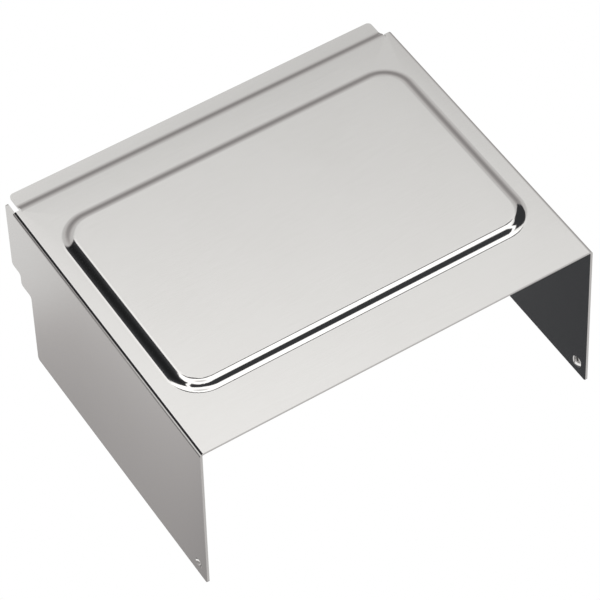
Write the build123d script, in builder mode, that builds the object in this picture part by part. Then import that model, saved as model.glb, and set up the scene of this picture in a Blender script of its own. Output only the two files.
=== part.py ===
"""Wall-mounted toilet paper holder: a bracket with a sprung roller under a hinged hood of folded steel sheet.

Row frame, in millimetres: +X to the right as one faces the holder, +Y into the wall, +Z up.
The origin is the centre of the four wall screws, on the wall's plane.
"""

from build123d import *
from math import cos, radians, sin, tan
import os

# ---- Hood -----------------------------------------------------------------------------------------
HOOD_WIDTH = 140.0          # over the two bends
HOOD_DEPTH = 111.7          # front edge to the upper bend of the step in the plate
HOOD_HEIGHT = 65.0          # plate's top to the cheeks' lower edges
HOOD_SHEET = 0.8            # polished stainless sheet
HOOD_TOP_Z = 42.0           # plate's top above the screw centre
CHEEK_SPLAY = 1.0           # degrees that each cheek leans outwards
BEND_RADIUS = 1.3           # outer radius of the bends along the plate's sides
STRIP_LENGTH = 8.15         # step and strip, behind that bend
STRIP_DROP = 1.5            # how far the strip lies below the plate
STRIP_WIDTH = 134.0
STRIP_CORNER = 1.5
PLATE_DEPTH = 111.4         # bends along the plate, and its rear corners
PLATE_FLAT = 110.4          # flat part of the plate, before the step
PLATE_MARGIN = 10.0         # between the front edge and the panel
STEP_RUN = 1.95             # length of the step's slope, between its bends' corners
STEP_BEND = 3.5             # middle of the sheet
STRIP_RELIEF = 0.3          # slit between the strip and the plate's rear corners
WALL_GAP = 2.65             # strip's rear edge to the wall

PANEL_WIDTH = 125.7         # raised panel, where its flanks meet the plate
PANEL_DEPTH = 80.1
PANEL_CENTRE = 59.1         # behind the front edge
PANEL_CORNER = 10.4
PANEL_HEIGHT = 1.7
PANEL_FLANK = 40.0          # degrees, steepness of its flanks
PANEL_FOOT = 3.4            # radius where the plate turns up into a flank
PANEL_SHOULDER = 3.6        # radius where a flank turns into the panel

TAB_REAR = 116.5            # cheek's rear edge at the tab, behind the front edge
TAB_TOP = 0.3               # tab's upper edge below the plate's top
TAB_DEPTH = 29.0            # tab's lower edge below the plate's top
STEP_REAR = 111.2
STEP_DEPTH = 34.0
CHEEK_REAR = 105.0
RIGHT_TAB_DROP = 8.0        # the right tab starts this far below the plate's top
CORNER = 1.2                # cheek's outline corners

PIP_FROM_FRONT = 4.8
PIP_FROM_TOP = 59.8
PIP_RADIUS = 2.2            # inside the dent
PIP_DEPTH = 0.9

# ---- Wall bracket ---------------------------------------------------------------------------------
BRACKET_SHEET = 1.2
BRACKET_WIDTH = 116.0       # over the two arms
BACK_TOP = 19.0             # back plate's upper edge, below the hood's top
BACK_BOTTOM = 60.0
SCREW_SPACING_X = 80.0
SCREW_SPACING_Z = 24.0
SCREW_HOLE_RADIUS = 2.25
ARM_EYE_RADIUS = 4.0
ARM_NOSE_RADIUS = 9.0       # round the roller's pin
ARM_TOP_FRONT = 45.0        # front end of the arm's level upper edge, before the wall
FLANGE_REACH = 67.5         # outward flange that carries a bumper: its outer edge's x
FLANGE_DROP = 0.2           # below the arm's upper edge
FLANGE_LENGTH = 11.0
FLANGE_CORNER = 2.0
BRACKET_BEND = 1.6          # middle of the sheet
BLANK_MARGIN = 1.0          # bent blank over the arms' outline
STRIP_ROOM = 3.7            # arm's metal behind the hinge, where the hood's strip swings down

# ---- Hinge ----------------------------------------------------------------------------------------
HINGE_Y = -13.0
HINGE_DROP = 7.0            # below the plate's top
ROD_RADIUS = 1.5
ROD_FIT = 0.05
ROD_END = 60.5              # half length
ROD_CHAMFER = 0.4
GROOVE_RADIUS = 1.1
GROOVE_PLAY = 0.05
CLIP_RADIUS = 3.0
CLIP_X = 58.4               # inner face of each clip
CLIP_THICKNESS = 0.5
LUG_FACE_X = 55.2           # outer face of each lug's ear
LUG_SHEET = 1.2
LUG_FOOT = 14.0             # width of the welded foot
LUG_DEPTH = 11.0
WASHER_THICKNESS = 1.0

# ---- Bumpers --------------------------------------------------------------------------------------
BUMPER_X = 65.5
BUMPER_Y = -41.0
BUMPER_HEAD_RADIUS = 2.2
BUMPER_STEM_RADIUS = 1.3
BUMPER_BULB_RADIUS = 1.9
BUMPER_BULB_LENGTH = 1.4
BUMPER_ROUNDING = 0.5
BUMPER_GAP = 0.1

# ---- Roller ---------------------------------------------------------------------------------------
ROLLER_Y = -58.0
ROLLER_DROP = 53.0          # roller's axis below the hood's top
OUTER_TUBE_RADIUS = 8.0
INNER_TUBE_RADIUS = 7.1
TUBE_WALL = 0.8
SHOULDER_X = 55.6           # outer face of each cap
CAP_DISC = 0.8
SPIGOT_LENGTH = 7.0
PIN_RADIUS = 2.5
PIN_FIT = 0.05
PIN_ROUNDING = 1.0
PIN_END = 58.6
OUTER_TUBE_END = 6.0
INNER_TUBE_END = -4.0
SPRING_RADIUS = 5.2
SPRING_WIRE = 0.5
SPRING_TURNS = 9
BUSH_RADIUS = 4.0
BUSH_FLANGE_RADIUS = 5.6
BUSH_FLANGE = 0.8
BUSH_LIP_RADIUS = 4.6

# ---- Worked-out places ----------------------------------------------------------------------------
HALF_WIDTH = HOOD_WIDTH / 2
PLATE_FLOOR_Z = HOOD_TOP_Z - HOOD_SHEET
FRONT_Y = -(WALL_GAP + STRIP_LENGTH + HOOD_DEPTH)
HINGE_Z = HOOD_TOP_Z - HINGE_DROP
ROLLER_Z = HOOD_TOP_Z - ROLLER_DROP
ARM_X = BRACKET_WIDTH / 2
ARM_INNER_X = ARM_X - BRACKET_SHEET
ARM_TOP_Z = HINGE_Z + ARM_EYE_RADIUS
FLANGE_TOP_Z = ARM_TOP_Z - FLANGE_DROP
CAP_INNER_X = SHOULDER_X - CAP_DISC
STRIP_REAR_Y = -WALL_GAP


def from_front(distance):
    """Y of a place that lies this far behind the hood's front edge."""
    return FRONT_Y + distance


# Right cheek's outer face: x runs to the rear and y up along the cheek, from where the bend ends.
cheek_out = Vector(cos(radians(CHEEK_SPLAY)), 0, sin(radians(CHEEK_SPLAY)))
bend_centre = Vector(HALF_WIDTH - BEND_RADIUS, FRONT_Y, HOOD_TOP_Z - BEND_RADIUS)
cheek_face = Plane(origin=bend_centre + cheek_out * BEND_RADIUS, x_dir=(0, 1, 0), z_dir=cheek_out)
cheek_start = BEND_RADIUS * (1.0 - sin(radians(CHEEK_SPLAY)))


def down_cheek(depth):
    """The cheek plane's y at this depth below the plate's top."""
    return (cheek_start - depth) / cos(radians(CHEEK_SPLAY))


def save(piece, label):
    piece.part.label = label
    export_step(piece.part, f"parts/{label}.step")


def save_pair(right, name):
    """Writes a piece of the right side, and its mirror image for the left."""
    with BuildPart() as left:
        mirror(right.part, about=Plane.YZ)
    save(left, f"{name}_left")
    save(right, f"{name}_right")


os.makedirs("parts", exist_ok=True)

# ---- right cheek of the hood: stepped rear edge, and a pip -------------------------------------------
with BuildPart() as cheek:
    with BuildSketch(cheek_face) as cheek_outline:
        with BuildLine():
            Polyline(
                (0, 0),
                (PLATE_DEPTH, 0),
                (PLATE_DEPTH, down_cheek(TAB_TOP)),
                (TAB_REAR, down_cheek(TAB_TOP)),
                (TAB_REAR, down_cheek(TAB_DEPTH)),
                (STEP_REAR, down_cheek(TAB_DEPTH)),
                (STEP_REAR, down_cheek(STEP_DEPTH)),
                (CHEEK_REAR, down_cheek(STEP_DEPTH)),
                (CHEEK_REAR, down_cheek(HOOD_HEIGHT)),
                (0, down_cheek(HOOD_HEIGHT)),
                close=True,
            )
        make_face()
        corners = cheek_outline.vertices()
        fillet(corners.filter_by(lambda v: v.X > PLATE_DEPTH + 1 or v.Y < down_cheek(TAB_DEPTH - 1)), CORNER)
    extrude(amount=-HOOD_SHEET)

    # Pip: the sheet bulges inwards behind a round dent.
    pip_face = cheek_face.from_local_coords((PIP_FROM_FRONT, down_cheek(PIP_FROM_TOP), 0))
    pip_centre = pip_face + cheek_out * (PIP_RADIUS - PIP_DEPTH)
    pip_section = Plane(origin=pip_centre, x_dir=cheek_out, z_dir=(0, 1, 0))
    with BuildSketch(pip_section):
        Circle(PIP_RADIUS + HOOD_SHEET)
        with Locations((PIP_DEPTH - PIP_RADIUS - HOOD_SHEET / 2, 0)):
            Rectangle(2 * PIP_RADIUS, 2 * PIP_RADIUS, align=(Align.MAX, Align.MIN), mode=Mode.INTERSECT)
    revolve(axis=Axis(pip_centre, cheek_out))
    with BuildSketch(pip_section):
        Circle(PIP_RADIUS)
        Rectangle(2 * PIP_RADIUS, PIP_RADIUS, align=(Align.CENTER, Align.MIN), mode=Mode.INTERSECT)
    revolve(axis=Axis(pip_centre, cheek_out), mode=Mode.SUBTRACT)

# ---- hood: plate and bends, step and strip, cheeks, raised panel ------------------------------------
with BuildPart() as hood:
    # Plate and its two bends, one section along the depth.
    middle_z = HOOD_TOP_Z - HOOD_SHEET / 2
    with BuildSketch(Plane.XZ.offset(-FRONT_Y)):
        with BuildLine():
            Line((-bend_centre.X, middle_z), (bend_centre.X, middle_z))
            for x, turn in ((bend_centre.X, -1), (-bend_centre.X, 1)):
                CenterArc((x, bend_centre.Z), BEND_RADIUS - HOOD_SHEET / 2, 90, turn * (90 - CHEEK_SPLAY))
        trace(line_width=HOOD_SHEET)
    extrude(amount=-PLATE_DEPTH)
    with BuildSketch(Plane.XY.offset(HOOD_TOP_Z)):
        with Locations((0, from_front(PLATE_FLAT))):
            Rectangle(STRIP_WIDTH + 2 * STRIP_RELIEF, PLATE_FLAT, align=(Align.CENTER, Align.MIN))
    extrude(amount=-HOOD_SHEET, mode=Mode.SUBTRACT)

    # The step behind the plate, and the strip that ends near the wall.
    with BuildSketch(Plane.YZ.offset(-STRIP_WIDTH / 2)):
        with BuildLine():
            FilletPolyline(
                (from_front(PLATE_FLAT), middle_z),
                (from_front(HOOD_DEPTH), middle_z),
                (from_front(HOOD_DEPTH + STEP_RUN), middle_z - STRIP_DROP),
                (STRIP_REAR_Y, middle_z - STRIP_DROP),
                radius=STEP_BEND,
            )
        trace(line_width=HOOD_SHEET)
    extrude(amount=STRIP_WIDTH)
    fillet(hood.edges().filter_by(Axis.Z).group_by(Axis.Y)[-1], STRIP_CORNER)

    # Raised panel: the same flank above and below the sheet.
    flank_inset = HOOD_SHEET * tan(radians(PANEL_FLANK / 2))
    for face_z, inset, mode in ((HOOD_TOP_Z, 0, Mode.ADD), (PLATE_FLOOR_Z, flank_inset, Mode.SUBTRACT)):
        with BuildSketch(Plane.XY.offset(face_z)):
            with Locations((0, from_front(PANEL_CENTRE))):
                RectangleRounded(PANEL_WIDTH - 2 * inset, PANEL_DEPTH - 2 * inset, PANEL_CORNER - inset)
        extrude(amount=PANEL_HEIGHT, taper=90 - PANEL_FLANK, mode=mode)
    pressed_edges = (
        (HOOD_TOP_Z, PANEL_FOOT),
        (HOOD_TOP_Z + PANEL_HEIGHT, PANEL_SHOULDER),
        (PLATE_FLOOR_Z, PANEL_FOOT + HOOD_SHEET),
        (PLATE_FLOOR_Z + PANEL_HEIGHT, PANEL_SHOULDER - HOOD_SHEET),
    )
    for edge_z, radius in pressed_edges:
        level = hood.edges().filter_by_position(Axis.Z, edge_z, edge_z)
        level = level.filter_by_position(Axis.X, -PANEL_WIDTH / 2, PANEL_WIDTH / 2)
        fillet(level.filter_by_position(Axis.Y, from_front(PLATE_MARGIN), from_front(CHEEK_REAR)), radius)

    add(cheek.part)
    mirror(cheek.part, about=Plane.YZ)

    # The right tab starts lower than the left one.
    with BuildSketch(cheek_face):
        with Locations((PLATE_DEPTH, down_cheek(RIGHT_TAB_DROP))):
            Rectangle(2 * CORNER + TAB_REAR - PLATE_DEPTH, HOOD_HEIGHT, align=(Align.MIN, Align.MIN))
    extrude(amount=-2 * BEND_RADIUS, mode=Mode.SUBTRACT)
save(hood, "hood")

# ---- hood lug: a foot welded under the plate and an ear that turns on the rod ------------------------
with BuildPart() as hood_lug:
    foot_y = from_front(PLATE_FLAT) - LUG_DEPTH
    with BuildSketch(Plane.YZ.offset(LUG_FACE_X)):
        with Locations((HINGE_Y, HINGE_Z)):
            Circle(ARM_EYE_RADIUS)
        with Locations((foot_y, PLATE_FLOOR_Z)):
            Rectangle(LUG_DEPTH, LUG_SHEET, align=(Align.MIN, Align.MAX))
        make_hull()
        with Locations((HINGE_Y, HINGE_Z)):
            Circle(ROD_RADIUS + ROD_FIT, mode=Mode.SUBTRACT)
    extrude(amount=-LUG_SHEET)
    with BuildSketch(Plane.XY.offset(PLATE_FLOOR_Z)):
        with Locations((LUG_FACE_X, foot_y)):
            Rectangle(LUG_FOOT, LUG_DEPTH, align=(Align.MAX, Align.MIN))
    extrude(amount=-LUG_SHEET)
save_pair(hood_lug, "hood_lug")

# ---- wall bracket: one sheet, a back plate with two arms bent forwards -------------------------------
with BuildPart() as wall_bracket:
    arm_middle = ARM_X - BRACKET_SHEET / 2
    blank_front = ROLLER_Y - ARM_NOSE_RADIUS - BLANK_MARGIN
    with BuildSketch(Plane.XY.offset(HOOD_TOP_Z - BACK_BOTTOM - BLANK_MARGIN)):
        with BuildLine():
            FilletPolyline(
                (-arm_middle, blank_front),
                (-arm_middle, -BRACKET_SHEET / 2),
                (arm_middle, -BRACKET_SHEET / 2),
                (arm_middle, blank_front),
                radius=BRACKET_BEND,
            )
        trace(line_width=BRACKET_SHEET)
    extrude(amount=ARM_TOP_Z - HOOD_TOP_Z + BACK_BOTTOM + 2 * BLANK_MARGIN)

    # Side outline of the arms, cut back above the wall so that the hood's strip can swing down.
    with BuildSketch(Plane.YZ.offset(-ARM_X)):
        with Locations((ROLLER_Y, ROLLER_Z)):
            Circle(ARM_NOSE_RADIUS)
        with Locations((HINGE_Y, HINGE_Z), (-ARM_TOP_FRONT, ARM_TOP_Z - ARM_EYE_RADIUS)):
            Circle(ARM_EYE_RADIUS)
        with Locations((BLANK_MARGIN, HOOD_TOP_Z - BACK_BOTTOM)):
            Rectangle(BACK_BOTTOM / 2, BACK_BOTTOM - BACK_TOP, align=(Align.MAX, Align.MIN))
        make_hull()
        with Locations((HINGE_Y + STRIP_ROOM, HOOD_TOP_Z - BACK_TOP)):
            Rectangle(BACK_TOP, BACK_TOP, align=(Align.MIN, Align.MIN), mode=Mode.SUBTRACT)
    extrude(amount=BRACKET_WIDTH, mode=Mode.INTERSECT)

    # Outward flanges for the bumpers.
    with BuildSketch(Plane.XY.offset(FLANGE_TOP_Z)) as flange_outline:
        for side in (-1, 1):
            with Locations((side * (arm_middle + FLANGE_REACH) / 2, BUMPER_Y)):
                Rectangle(FLANGE_REACH - arm_middle, FLANGE_LENGTH)
        outer_corners = flange_outline.vertices().filter_by(lambda v: abs(v.X) > ARM_X)
        fillet(outer_corners, FLANGE_CORNER)
    extrude(amount=-BRACKET_SHEET)

    with BuildSketch(Plane.XY.offset(FLANGE_TOP_Z)):
        with Locations((-BUMPER_X, BUMPER_Y), (BUMPER_X, BUMPER_Y)):
            Circle(BUMPER_STEM_RADIUS)
    extrude(amount=-BRACKET_SHEET, mode=Mode.SUBTRACT)
    with BuildSketch(Plane.XZ):
        with GridLocations(SCREW_SPACING_X, SCREW_SPACING_Z, 2, 2):
            Circle(SCREW_HOLE_RADIUS)
    extrude(amount=BRACKET_SHEET, mode=Mode.SUBTRACT)
    with BuildSketch(Plane.YZ.offset(-ARM_X)):
        with Locations((HINGE_Y, HINGE_Z)):
            Circle(ROD_RADIUS)
        with Locations((ROLLER_Y, ROLLER_Z)):
            Circle(BUSH_RADIUS)
    extrude(amount=BRACKET_WIDTH, mode=Mode.SUBTRACT)
save(wall_bracket, "wall_bracket")

# ---- hinge rod, its clips and its washers ------------------------------------------------------------
with BuildPart() as hinge_rod:
    with BuildSketch(Plane.YZ.offset(-ROD_END)):
        with Locations((HINGE_Y, HINGE_Z)):
            Circle(ROD_RADIUS)
    extrude(amount=2 * ROD_END)
    chamfer(hinge_rod.edges().group_by(Axis.X)[0] + hinge_rod.edges().group_by(Axis.X)[-1], ROD_CHAMFER)
    for groove_x in (CLIP_X - GROOVE_PLAY, -CLIP_X - CLIP_THICKNESS - GROOVE_PLAY):
        with BuildSketch(Plane.YZ.offset(groove_x)):
            with Locations((HINGE_Y, HINGE_Z)):
                Circle(2 * ROD_RADIUS)
                Circle(GROOVE_RADIUS, mode=Mode.SUBTRACT)
        extrude(amount=CLIP_THICKNESS + 2 * GROOVE_PLAY, mode=Mode.SUBTRACT)
save(hinge_rod, "hinge_rod")

with BuildPart() as rod_clip:
    with BuildSketch(Plane.YZ.offset(CLIP_X)):
        with Locations((HINGE_Y, HINGE_Z)):
            Circle(CLIP_RADIUS)
            Circle(GROOVE_RADIUS + GROOVE_PLAY, mode=Mode.SUBTRACT)
            Rectangle(
                2 * GROOVE_RADIUS, 2 * CLIP_RADIUS, align=(Align.CENTER, Align.MAX), mode=Mode.SUBTRACT
            )
    extrude(amount=CLIP_THICKNESS)
save_pair(rod_clip, "rod_clip")

with BuildPart() as hinge_washer:
    washer_x = (LUG_FACE_X + ARM_INNER_X - WASHER_THICKNESS) / 2
    with BuildSketch(Plane.YZ.offset(washer_x)):
        with Locations((HINGE_Y, HINGE_Z)):
            Circle(ARM_EYE_RADIUS)
            Circle(ROD_RADIUS + ROD_FIT, mode=Mode.SUBTRACT)
    extrude(amount=WASHER_THICKNESS)
save_pair(hinge_washer, "hinge_washer")

# ---- bumper: rubber head on the flange, stem through its hole, bulb below ----------------------------
with BuildPart() as bumper:
    head_height = PLATE_FLOOR_Z - BUMPER_GAP - FLANGE_TOP_Z
    for radius, top_z, height in (
        (BUMPER_HEAD_RADIUS, FLANGE_TOP_Z + head_height, head_height),
        (BUMPER_STEM_RADIUS, FLANGE_TOP_Z, BRACKET_SHEET),
        (BUMPER_BULB_RADIUS, FLANGE_TOP_Z - BRACKET_SHEET, BUMPER_BULB_LENGTH),
    ):
        with BuildSketch(Plane.XY.offset(top_z)):
            with Locations((BUMPER_X, BUMPER_Y)):
                Circle(radius)
        extrude(amount=-height)
    fillet(bumper.edges().group_by(Axis.Z)[-1], BUMPER_ROUNDING)
    chamfer(bumper.edges().group_by(Axis.Z)[0], BUMPER_ROUNDING)
save_pair(bumper, "bumper")

# ---- pin bush: flanged nylon seat snapped into the arm -----------------------------------------------
with BuildPart() as pin_bush:
    for radius, start_x, length in (
        (BUSH_FLANGE_RADIUS, ARM_INNER_X - BUSH_FLANGE, BUSH_FLANGE),
        (BUSH_RADIUS, ARM_INNER_X, BRACKET_SHEET),
        (BUSH_LIP_RADIUS, ARM_X, BUSH_FLANGE),
    ):
        with BuildSketch(Plane.YZ.offset(start_x)):
            with Locations((ROLLER_Y, ROLLER_Z)):
                Circle(radius)
                Circle(PIN_RADIUS + PIN_FIT, mode=Mode.SUBTRACT)
        extrude(amount=length)
save_pair(pin_bush, "pin_bush")


# ---- roller: two telescoping tubes, an end cap with a pin in each, a spring between them -------------
def cap(spigot_radius):
    """Right-hand end cap: disc, spigot inside the tube, and the pin."""
    with BuildPart() as piece:
        for radius, start_x, length in (
            (spigot_radius, CAP_INNER_X - SPIGOT_LENGTH, SPIGOT_LENGTH),
            (OUTER_TUBE_RADIUS, CAP_INNER_X, CAP_DISC),
            (PIN_RADIUS, SHOULDER_X, PIN_END - SHOULDER_X),
        ):
            with BuildSketch(Plane.YZ.offset(start_x)):
                with Locations((ROLLER_Y, ROLLER_Z)):
                    Circle(radius)
            extrude(amount=length)
        fillet(piece.edges().group_by(Axis.X)[-1], PIN_ROUNDING)
    return piece


with BuildPart() as roller_outer:
    with BuildSketch(Plane.YZ.offset(-CAP_INNER_X)):
        with Locations((ROLLER_Y, ROLLER_Z)):
            Circle(OUTER_TUBE_RADIUS)
            Circle(OUTER_TUBE_RADIUS - TUBE_WALL, mode=Mode.SUBTRACT)
    extrude(amount=CAP_INNER_X + OUTER_TUBE_END)
    rim = roller_outer.edges().group_by(Axis.X)[-1].sort_by(SortBy.RADIUS)[-1]
    fillet(rim, TUBE_WALL / 2)
save(roller_outer, "roller_outer")

with BuildPart() as roller_inner:
    with BuildSketch(Plane.YZ.offset(INNER_TUBE_END)):
        with Locations((ROLLER_Y, ROLLER_Z)):
            Circle(INNER_TUBE_RADIUS)
    extrude(amount=CAP_INNER_X - INNER_TUBE_END)
    # Bored from the cap's end, which leaves a wall for the spring to push on.
    with BuildSketch(Plane.YZ.offset(CAP_INNER_X)):
        with Locations((ROLLER_Y, ROLLER_Z)):
            Circle(INNER_TUBE_RADIUS - TUBE_WALL)
    extrude(amount=INNER_TUBE_END + TUBE_WALL - CAP_INNER_X, mode=Mode.SUBTRACT)
save(roller_inner, "roller_inner")

roller_cap_right = cap(INNER_TUBE_RADIUS - TUBE_WALL)
save(roller_cap_right, "roller_cap_right")

with BuildPart() as roller_cap_left:
    mirror(cap(OUTER_TUBE_RADIUS - TUBE_WALL).part, about=Plane.YZ)
save(roller_cap_left, "roller_cap_left")

with BuildPart() as roller_spring:
    spring_start = Vector(SPIGOT_LENGTH - CAP_INNER_X + SPRING_WIRE, ROLLER_Y, ROLLER_Z)
    spring_length = INNER_TUBE_END - SPRING_WIRE - spring_start.X
    with BuildLine() as coil:
        Helix(
            pitch=spring_length / SPRING_TURNS,
            height=spring_length,
            radius=SPRING_RADIUS,
            center=spring_start,
            direction=(1, 0, 0),
        )
    with BuildSketch(Plane(origin=coil.line @ 0, z_dir=coil.line % 0)):
        Circle(SPRING_WIRE)
    sweep(path=coil.line)
save(roller_spring, "roller_spring")
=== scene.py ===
import math

import bpy
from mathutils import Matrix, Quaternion, Vector


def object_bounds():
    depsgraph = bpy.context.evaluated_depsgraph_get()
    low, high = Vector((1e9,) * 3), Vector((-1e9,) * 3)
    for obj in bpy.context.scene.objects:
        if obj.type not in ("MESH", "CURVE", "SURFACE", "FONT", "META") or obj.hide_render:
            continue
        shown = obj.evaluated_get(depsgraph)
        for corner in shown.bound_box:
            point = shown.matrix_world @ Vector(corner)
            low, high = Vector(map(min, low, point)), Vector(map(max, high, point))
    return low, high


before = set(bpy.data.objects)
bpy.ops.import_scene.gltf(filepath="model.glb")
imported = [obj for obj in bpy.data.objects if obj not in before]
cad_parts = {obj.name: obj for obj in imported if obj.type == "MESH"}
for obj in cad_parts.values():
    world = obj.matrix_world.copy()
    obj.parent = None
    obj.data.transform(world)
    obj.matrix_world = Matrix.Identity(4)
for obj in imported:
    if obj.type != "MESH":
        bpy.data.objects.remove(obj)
cad_low, cad_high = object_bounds()
scene = bpy.context.scene
MM = 0.001


# ---- camera: left of the holder, looking down on the hood ------------------------------------------
CAMERA_AZIMUTH = -30.5      # degrees, 0 looks straight at the wall
CAMERA_ELEVATION = 50.75
CAMERA_ROLL = -2.44
CAMERA_DISTANCE = 1.0411
CAMERA_LENS = 198.4
CAMERA_SENSOR = 36.0
CAMERA_AIM = (1.94 * MM, -4.44 * MM)    # right of the holder's centre, and below it, in the picture
CAMERA_CLIP = (0.01, 20.0)

azimuth = math.radians(CAMERA_AZIMUTH)
elevation = math.radians(CAMERA_ELEVATION)
towards_camera = Vector((
    math.sin(azimuth) * math.cos(elevation),
    -math.cos(azimuth) * math.cos(elevation),
    math.sin(elevation),
))
turn = towards_camera.to_track_quat("Z", "Y") @ Quaternion((0, 0, 1), math.radians(CAMERA_ROLL))
aim = (cad_low + cad_high) / 2 + turn @ Vector((*CAMERA_AIM, 0))
camera = bpy.data.objects.new("camera", bpy.data.cameras.new("camera"))
scene.collection.objects.link(camera)
camera.rotation_mode = "QUATERNION"
camera.rotation_quaternion = turn
camera.location = aim + towards_camera * CAMERA_DISTANCE
camera.data.lens = CAMERA_LENS
camera.data.sensor_width = CAMERA_SENSOR
camera.data.clip_start, camera.data.clip_end = CAMERA_CLIP
scene.camera = camera
scene.view_settings.view_transform = "Standard"


# ---- node helpers ----------------------------------------------------------------------------------
class Nodes:
    """Short way to add and wire nodes in one tree."""

    def __init__(self, tree):
        self.tree = tree
        tree.nodes.clear()

    def add(self, kind, inputs=None, **settings):
        node = self.tree.nodes.new(kind)
        for name, value in settings.items():
            setattr(node, name, value)
        for name, value in (inputs or {}).items():
            if isinstance(value, bpy.types.NodeSocket):
                self.tree.links.new(value, node.inputs[name])
            else:
                node.inputs[name].default_value = value
        return node

    def math(self, operation, *values):
        node = self.add("ShaderNodeMath", dict(enumerate(values)), operation=operation)
        return node.outputs[0]

    def ramp(self, value, start, end, low=0.0, high=1.0):
        """Smooth step from low to high while value goes from start to end."""
        node = self.add(
            "ShaderNodeMapRange",
            {"Value": value, "From Min": start, "From Max": end, "To Min": low, "To Max": high},
            interpolation_type="SMOOTHSTEP",
        )
        return node.outputs["Result"]

    def noise(self, vector, scale, detail=2.0, roughness=0.5, distortion=0.0):
        node = self.add(
            "ShaderNodeTexNoise",
            {"Vector": vector, "Scale": scale, "Detail": detail, "Roughness": roughness,
             "Distortion": distortion},
        )
        return node.outputs["Fac"]

    def stretched(self, vector, scales):
        return self.add("ShaderNodeMapping", {"Vector": vector, "Scale": scales}).outputs["Vector"]

    def two_tones(self, factor, dark, light):
        tones = {"A": dark, "B": light}
        inputs = {name: (*tone, 1) if isinstance(tone, tuple) else tone for name, tone in tones.items()}
        return self.add("ShaderNodeMix", {"Factor": factor, **inputs}, data_type="RGBA").outputs["Result"]


# ---- studio: pale floor and backdrop for the camera, softboxes and dark flags for the reflections ---
FLOOR_BELOW = 0.65          # a holder hangs about this far above the floor
ROOM_RADIUS = 3.0

# Directions are seen from the holder, in degrees: azimuth 0 is towards the wall and 90 to the right.
# Brightness of the room by elevation.
ROOM = (
    (-90, 0.12), (-60, 0.20), (-54, 0.60), (-47, 0.95), (-38, 1.15), (-27, 0.60), (-8, 0.37), (11, 0.46),
    (30, 0.73), (45, 0.81), (50, 1.12), (53, 1.30), (57, 1.50), (61, 1.80),
    (79, 1.80), (84, 1.05), (90, 0.90),
)

# Brightness of the two cards that the outer left cheek reflects, by elevation.
CHEEK_TONES = ((-52.5, 0.44), (-51.85, 0.51), (-51.15, 0.60), (-50, 0.72), (-47, 0.9))
CHEEK_REAR_TONES = ((-51.5, 0.43), (-50.2, 0.53), (-49.35, 0.84), (-48.5, 0.88))

# Cards in front of the room, one over the other. Middle and half width in azimuth, middle and half height in
# elevation, softness of the edges, and the card's brightness, or its brightness by elevation.
CARDS = {
    "rear_floor": (35, 32, -36, 20, 8, 0.80),
    "right_flag": (96, 30, 24, 26, 4, 0.05),
    "front_flag": (186, 61.5, 49, 12.5, 4, 0.055),
    "right_gap": (125, 6, 42, 18, 3, 1.9),
    "left_flag": (-58, 54, 38, 21, 4, ((22, 0.016), (40, 0.026), (55, 0.06))),
    "left_gap": (-106, 6, 48, 22, 3, 1.9),
    "overhead_flag": (33, 24, 60.3, 4.0, 2, 0.05),
    "low_reflector": (-120, 55, -40, 18, 4, 1.3),
    "front_reflector": (150, 30, -52, 14, 6, 0.72),
    "bend_card": (-45, 12, -24, 24, 5, ((-48, 0.80), (-30, 0.52), (-15, 0.26), (0, 0.07))),
    "left_reflector": (-64, 8.5, 5, 14, 3, 1.0),
    "cheek_card": (-28, 6, -50, 12, 3, CHEEK_TONES),
    "cheek_rear_card": (-16, 10.4, -48, 10, 1.6, CHEEK_REAR_TONES),
    "bend_flag": (-49, 8, -42, 7.5, 3, 0.10),
    "low_flag": (-36.5, 5.5, -50.5, 6, 2, 0.065),
}
# Elevation gained per degree to the right, for cards that lean.
LEAN = {"cheek_card": 1.0, "bend_flag": -1.0, "overhead_flag": -0.15}
# Lower edge of a flag: its elevation in the middle, and what it gains per degree to the right.
LOWER_EDGE = {"left_flag": (22.5, -0.35), "right_flag": (11.0, 0.65)}
# Where a flag ends towards the wall, as Y of the direction, and the softness of that end.
REAR_END = {"left_flag": 0.67}
REAR_SOFTNESS = 0.04

# Tints of the light: cool where it is dim, warm between, and nearly neutral where it is bright.
COOL_TINT = (0.93, 0.965, 1.03)
WARM_TINT = (1.0, 0.96, 0.95)
BRIGHT_TINT = (1.0, 0.993, 0.982)
COOL_TO_WARM = (0.05, 0.3)
WARM_TO_BRIGHT = (0.55, 0.9)

world = bpy.data.worlds.new("studio")
scene.world = world
world.use_nodes = True
sky = Nodes(world.node_tree)
direction = sky.add("ShaderNodeTexCoord").outputs["Generated"]
axes = sky.add("ShaderNodeSeparateXYZ", {0: direction})
around = sky.math("DEGREES", sky.math("ARCTAN2", axes.outputs["X"], axes.outputs["Y"]))
above = sky.math("DEGREES", sky.math("ARCSINE", axes.outputs["Z"]))


def profile(height, points):
    """Straight lines from point to point, where each is (elevation, brightness)."""
    total = points[0][1]
    for (start, low), (end, high) in zip(points, points[1:]):
        step = {"Value": height, "From Min": start, "From Max": end, "To Min": 0.0, "To Max": high - low}
        total = sky.math("ADD", sky.add("ShaderNodeMapRange", step).outputs["Result"], total)
    return total


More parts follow.
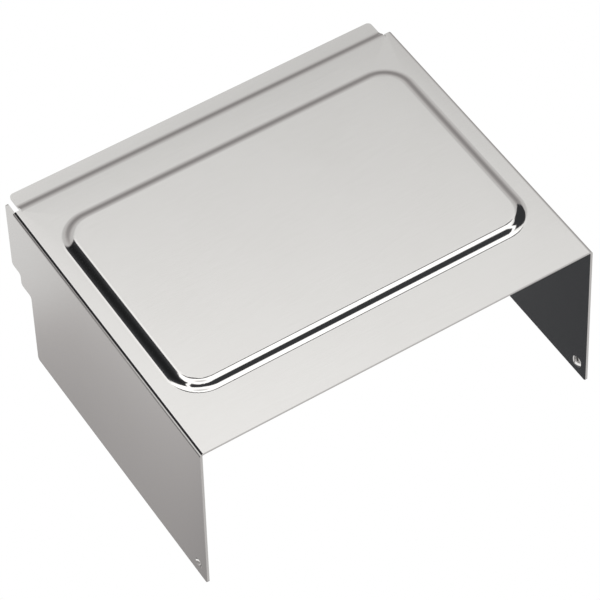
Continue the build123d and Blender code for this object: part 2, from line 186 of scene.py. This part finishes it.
light = profile(above, ROOM)
for name, (middle, half_width, height, half_height, soft, brightness) in CARDS.items():
    sideways = sky.math("WRAP", sky.math("SUBTRACT", around, middle), 180.0, -180.0)
    upwards = sky.math("SUBTRACT", above, sky.math("MULTIPLY", sideways, LEAN.get(name, 0.0)))
    mask = sky.math(
        "MULTIPLY",
        sky.ramp(sky.math("ABSOLUTE", sideways), half_width + soft / 2, half_width - soft / 2),
        sky.ramp(
            sky.math("ABSOLUTE", sky.math("SUBTRACT", upwards, height)),
            half_height + soft / 2,
            half_height - soft / 2,
        ),
    )
    if name in LOWER_EDGE:
        start, gain = LOWER_EDGE[name]
        over_edge = sky.math("SUBTRACT", above, sky.math("MULTIPLY", sideways, gain))
        mask = sky.math("MULTIPLY", mask, sky.ramp(over_edge, start - soft / 2, start + soft / 2))
    if name in REAR_END:
        end = REAR_END[name]
        before_end = sky.ramp(axes.outputs["Y"], end + REAR_SOFTNESS / 2, end - REAR_SOFTNESS / 2)
        mask = sky.math("MULTIPLY", mask, before_end)
    if isinstance(brightness, tuple):
        brightness = profile(upwards, brightness)
    light = sky.math("ADD", light, sky.math("MULTIPLY", sky.math("SUBTRACT", brightness, light), mask))
tint = sky.two_tones(sky.ramp(light, *COOL_TO_WARM), COOL_TINT, WARM_TINT)
tint = sky.two_tones(sky.ramp(light, *WARM_TO_BRIGHT), tint, BRIGHT_TINT)
background = sky.add("ShaderNodeBackground", {"Color": tint, "Strength": light})
sky.add("ShaderNodeOutputWorld", {"Surface": background.outputs[0]})


def only_for_camera(thing):
    for ray in ("diffuse", "glossy", "transmission", "volume_scatter", "shadow"):
        setattr(thing, f"visible_{ray}", False)


def glowing_white(name):
    made = bpy.data.materials.new(name)
    made.use_nodes = True
    nodes = Nodes(made.node_tree)
    glow = nodes.add("ShaderNodeEmission", {"Color": (1.0, 1.0, 1.0, 1.0), "Strength": 1.0})
    nodes.add("ShaderNodeOutputMaterial", {"Surface": glow.outputs[0]})
    return made


pale = glowing_white("studio_white")
bpy.ops.mesh.primitive_circle_add(
    vertices=96, radius=ROOM_RADIUS, fill_type="NGON", location=(0, 0, cad_low.z - FLOOR_BELOW)
)
floor = bpy.context.object
floor.name = "floor"
bpy.ops.mesh.primitive_uv_sphere_add(segments=64, ring_count=32, radius=ROOM_RADIUS)
backdrop = bpy.context.object
backdrop.name = "backdrop"
for thing in (floor, backdrop):
    thing.data.materials.append(pale)
    only_for_camera(thing)


# ---- materials -------------------------------------------------------------------------------------
CLOUD_SCALE = 38.0          # soft smudges on metal, waves per metre
RIPPLE_SCALE = 22.0         # slow waves of polished sheet
MOTTLE_SCALE = 420.0        # uneven tone of moulded pieces
SMUDGE = 0.5                # weight of the smudges beside the grain
GRAIN_SHARE = (0.35, 1.1)   # sum of grain and smudges, from the dark tone to the light one
MIDDLE_SHARE = (0.3, 0.7)   # the part of a noise that carries most of its change
ROUGHNESS_SWING = 0.06      # of moulded pieces, either way


def principled(name, **sockets):
    """New material with a Principled shader; sockets are set on the shader itself."""
    made = bpy.data.materials.new(name)
    made.use_nodes = True
    nodes = Nodes(made.node_tree)
    shader = nodes.add("ShaderNodeBsdfPrincipled")
    for socket, value in sockets.items():
        shader.inputs[socket.replace("_", " ").title()].default_value = value
    nodes.add("ShaderNodeOutputMaterial", {"Surface": shader.outputs[0]})
    place = nodes.add("ShaderNodeTexCoord").outputs["Object"]
    return made, nodes, shader, place


def connect(nodes, shader, socket, value):
    nodes.tree.links.new(value, shader.inputs[socket])


def metal(name, dark, light, rough, grain, depth, swing, ripple=0.0):
    """Worked metal. Grain is its scales along X, Y and Z; depth and ripple are in metres.

    Swing is how far the grain changes the roughness.
    """
    made, nodes, shader, place = principled(name, metallic=1.0)
    lines = nodes.noise(nodes.stretched(place, grain), 1.0, detail=3.0, roughness=0.6)
    cloud = nodes.noise(place, CLOUD_SCALE, detail=3.0, roughness=0.55, distortion=0.4)
    tint = nodes.ramp(nodes.math("ADD", nodes.math("MULTIPLY", cloud, SMUDGE), lines), *GRAIN_SHARE)
    connect(nodes, shader, "Base Color", nodes.two_tones(tint, dark, light))
    polish = nodes.math("MULTIPLY", nodes.math("SUBTRACT", lines, 0.5), swing)
    haze = nodes.math("MULTIPLY", nodes.math("SUBTRACT", cloud, 0.5), swing * SMUDGE)
    connect(nodes, shader, "Roughness", nodes.math("ADD", nodes.math("ADD", polish, haze), rough))
    relief = nodes.math("MULTIPLY", lines, depth)
    if ripple:
        wave = nodes.noise(place, RIPPLE_SCALE, detail=0.0)
        relief = nodes.math("ADD", relief, nodes.math("MULTIPLY", wave, ripple))
    bump = nodes.add("ShaderNodeBump", {"Height": relief, "Strength": 1.0, "Distance": 1.0})
    connect(nodes, shader, "Normal", bump.outputs["Normal"])
    return made


def moulded(name, dark, light, rough, grain_scale, depth):
    """Moulded plastic or rubber: mottled tone, and a fine even grain."""
    made, nodes, shader, place = principled(name)
    fine = nodes.noise(place, grain_scale, detail=2.0)
    mottle = nodes.noise(place, MOTTLE_SCALE, detail=2.0, distortion=0.3)
    connect(nodes, shader, "Base Color", nodes.two_tones(nodes.ramp(mottle, *MIDDLE_SHARE), dark, light))
    rough_range = (rough - ROUGHNESS_SWING, rough + ROUGHNESS_SWING)
    connect(nodes, shader, "Roughness", nodes.ramp(fine, *MIDDLE_SHARE, *rough_range))
    relief = nodes.math("MULTIPLY", fine, depth)
    bump = nodes.add("ShaderNodeBump", {"Height": relief, "Strength": 1.0, "Distance": 1.0})
    connect(nodes, shader, "Normal", bump.outputs["Normal"])
    return made


polished_steel = metal(
    "polished_steel", (0.612, 0.605, 0.595), (0.640, 0.635, 0.627), 0.09,
    grain=(160, 5200, 5200), depth=2e-8, swing=0.02, ripple=2.5e-7,
)
satin_steel = metal(
    "satin_steel", (0.52, 0.51, 0.50), (0.60, 0.595, 0.585), 0.24,
    grain=(220, 6400, 6400), depth=1.2e-6, swing=0.10,
)
turned_steel = metal(
    "turned_steel", (0.55, 0.545, 0.54), (0.64, 0.635, 0.63), 0.17,
    grain=(9000, 500, 500), depth=8e-7, swing=0.08,
)
chrome = metal(
    "chrome", (0.66, 0.665, 0.67), (0.72, 0.72, 0.72), 0.06,
    grain=(4200, 300, 300), depth=1e-7, swing=0.03,
)
spring_wire = metal(
    "spring_wire", (0.44, 0.44, 0.45), (0.56, 0.56, 0.56), 0.26,
    grain=(2600, 2600, 2600), depth=1e-6, swing=0.1,
)
dark_clip = metal(
    "dark_clip_steel", (0.035, 0.034, 0.033), (0.08, 0.078, 0.075), 0.38,
    grain=(3000, 3000, 3000), depth=2e-6, swing=0.12,
)
nylon = moulded(
    "natural_nylon", (0.70, 0.67, 0.59), (0.78, 0.75, 0.68), 0.42, grain_scale=5200.0, depth=3e-6
)
rubber = moulded(
    "black_rubber", (0.012, 0.012, 0.013), (0.028, 0.028, 0.029), 0.62, grain_scale=4200.0, depth=8e-6
)
grey_plastic = moulded(
    "grey_plastic", (0.30, 0.305, 0.31), (0.36, 0.365, 0.37), 0.30, grain_scale=3600.0, depth=2e-6
)

FINISHES = {
    "hood": polished_steel,
    "hood_lug": satin_steel,
    "wall_bracket": satin_steel,
    "hinge_rod": turned_steel,
    "rod_clip": dark_clip,
    "hinge_washer": nylon,
    "pin_bush": nylon,
    "bumper": rubber,
    "roller_outer": chrome,
    "roller_inner": chrome,
    "roller_cap": grey_plastic,
    "roller_spring": spring_wire,
}

# ---- shading of the CAD meshes: joined faces, round where the sheet is bent and crisp at cut edges --
CRISP_ANGLE = math.radians(28)
MERGE_DISTANCE = 2e-6       # joins the corners that neighbouring faces share

joined = bpy.data.node_groups.new("joined_faces", "GeometryNodeTree")
joined.interface.new_socket("Geometry", in_out="INPUT", socket_type="NodeSocketGeometry")
joined.interface.new_socket("Geometry", in_out="OUTPUT", socket_type="NodeSocketGeometry")
steps = Nodes(joined)
mesh_in = steps.add("NodeGroupInput").outputs[0]
merged = steps.add("GeometryNodeMergeByDistance", {"Geometry": mesh_in, "Distance": MERGE_DISTANCE})
angle = steps.add("GeometryNodeInputMeshEdgeAngle").outputs["Unsigned Angle"]
bent = steps.add("FunctionNodeCompare", {0: angle, 1: CRISP_ANGLE}, operation="LESS_THAN")
round_faces = steps.add(
    "GeometryNodeSetShadeSmooth", {"Geometry": merged.outputs[0], "Shade Smooth": True}, domain="FACE"
)
round_edges = steps.add(
    "GeometryNodeSetShadeSmooth",
    {"Geometry": round_faces.outputs[0], "Shade Smooth": bent.outputs[0]},
    domain="EDGE",
)
steps.add("NodeGroupOutput", {0: round_edges.outputs[0]})

for name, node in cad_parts.items():
    finish = next(
        made for start, made in FINISHES.items() if name == start or name.startswith(start + "_")
    )
    node.data.materials.clear()
    node.data.materials.append(finish)
    node.modifiers.new("joined_faces", "NODES").node_group = joined
    flat = node.modifiers.new("flat_faces_stay_flat", "WEIGHTED_NORMAL")
    flat.mode = "FACE_AREA_WITH_ANGLE"
    flat.keep_sharp = True
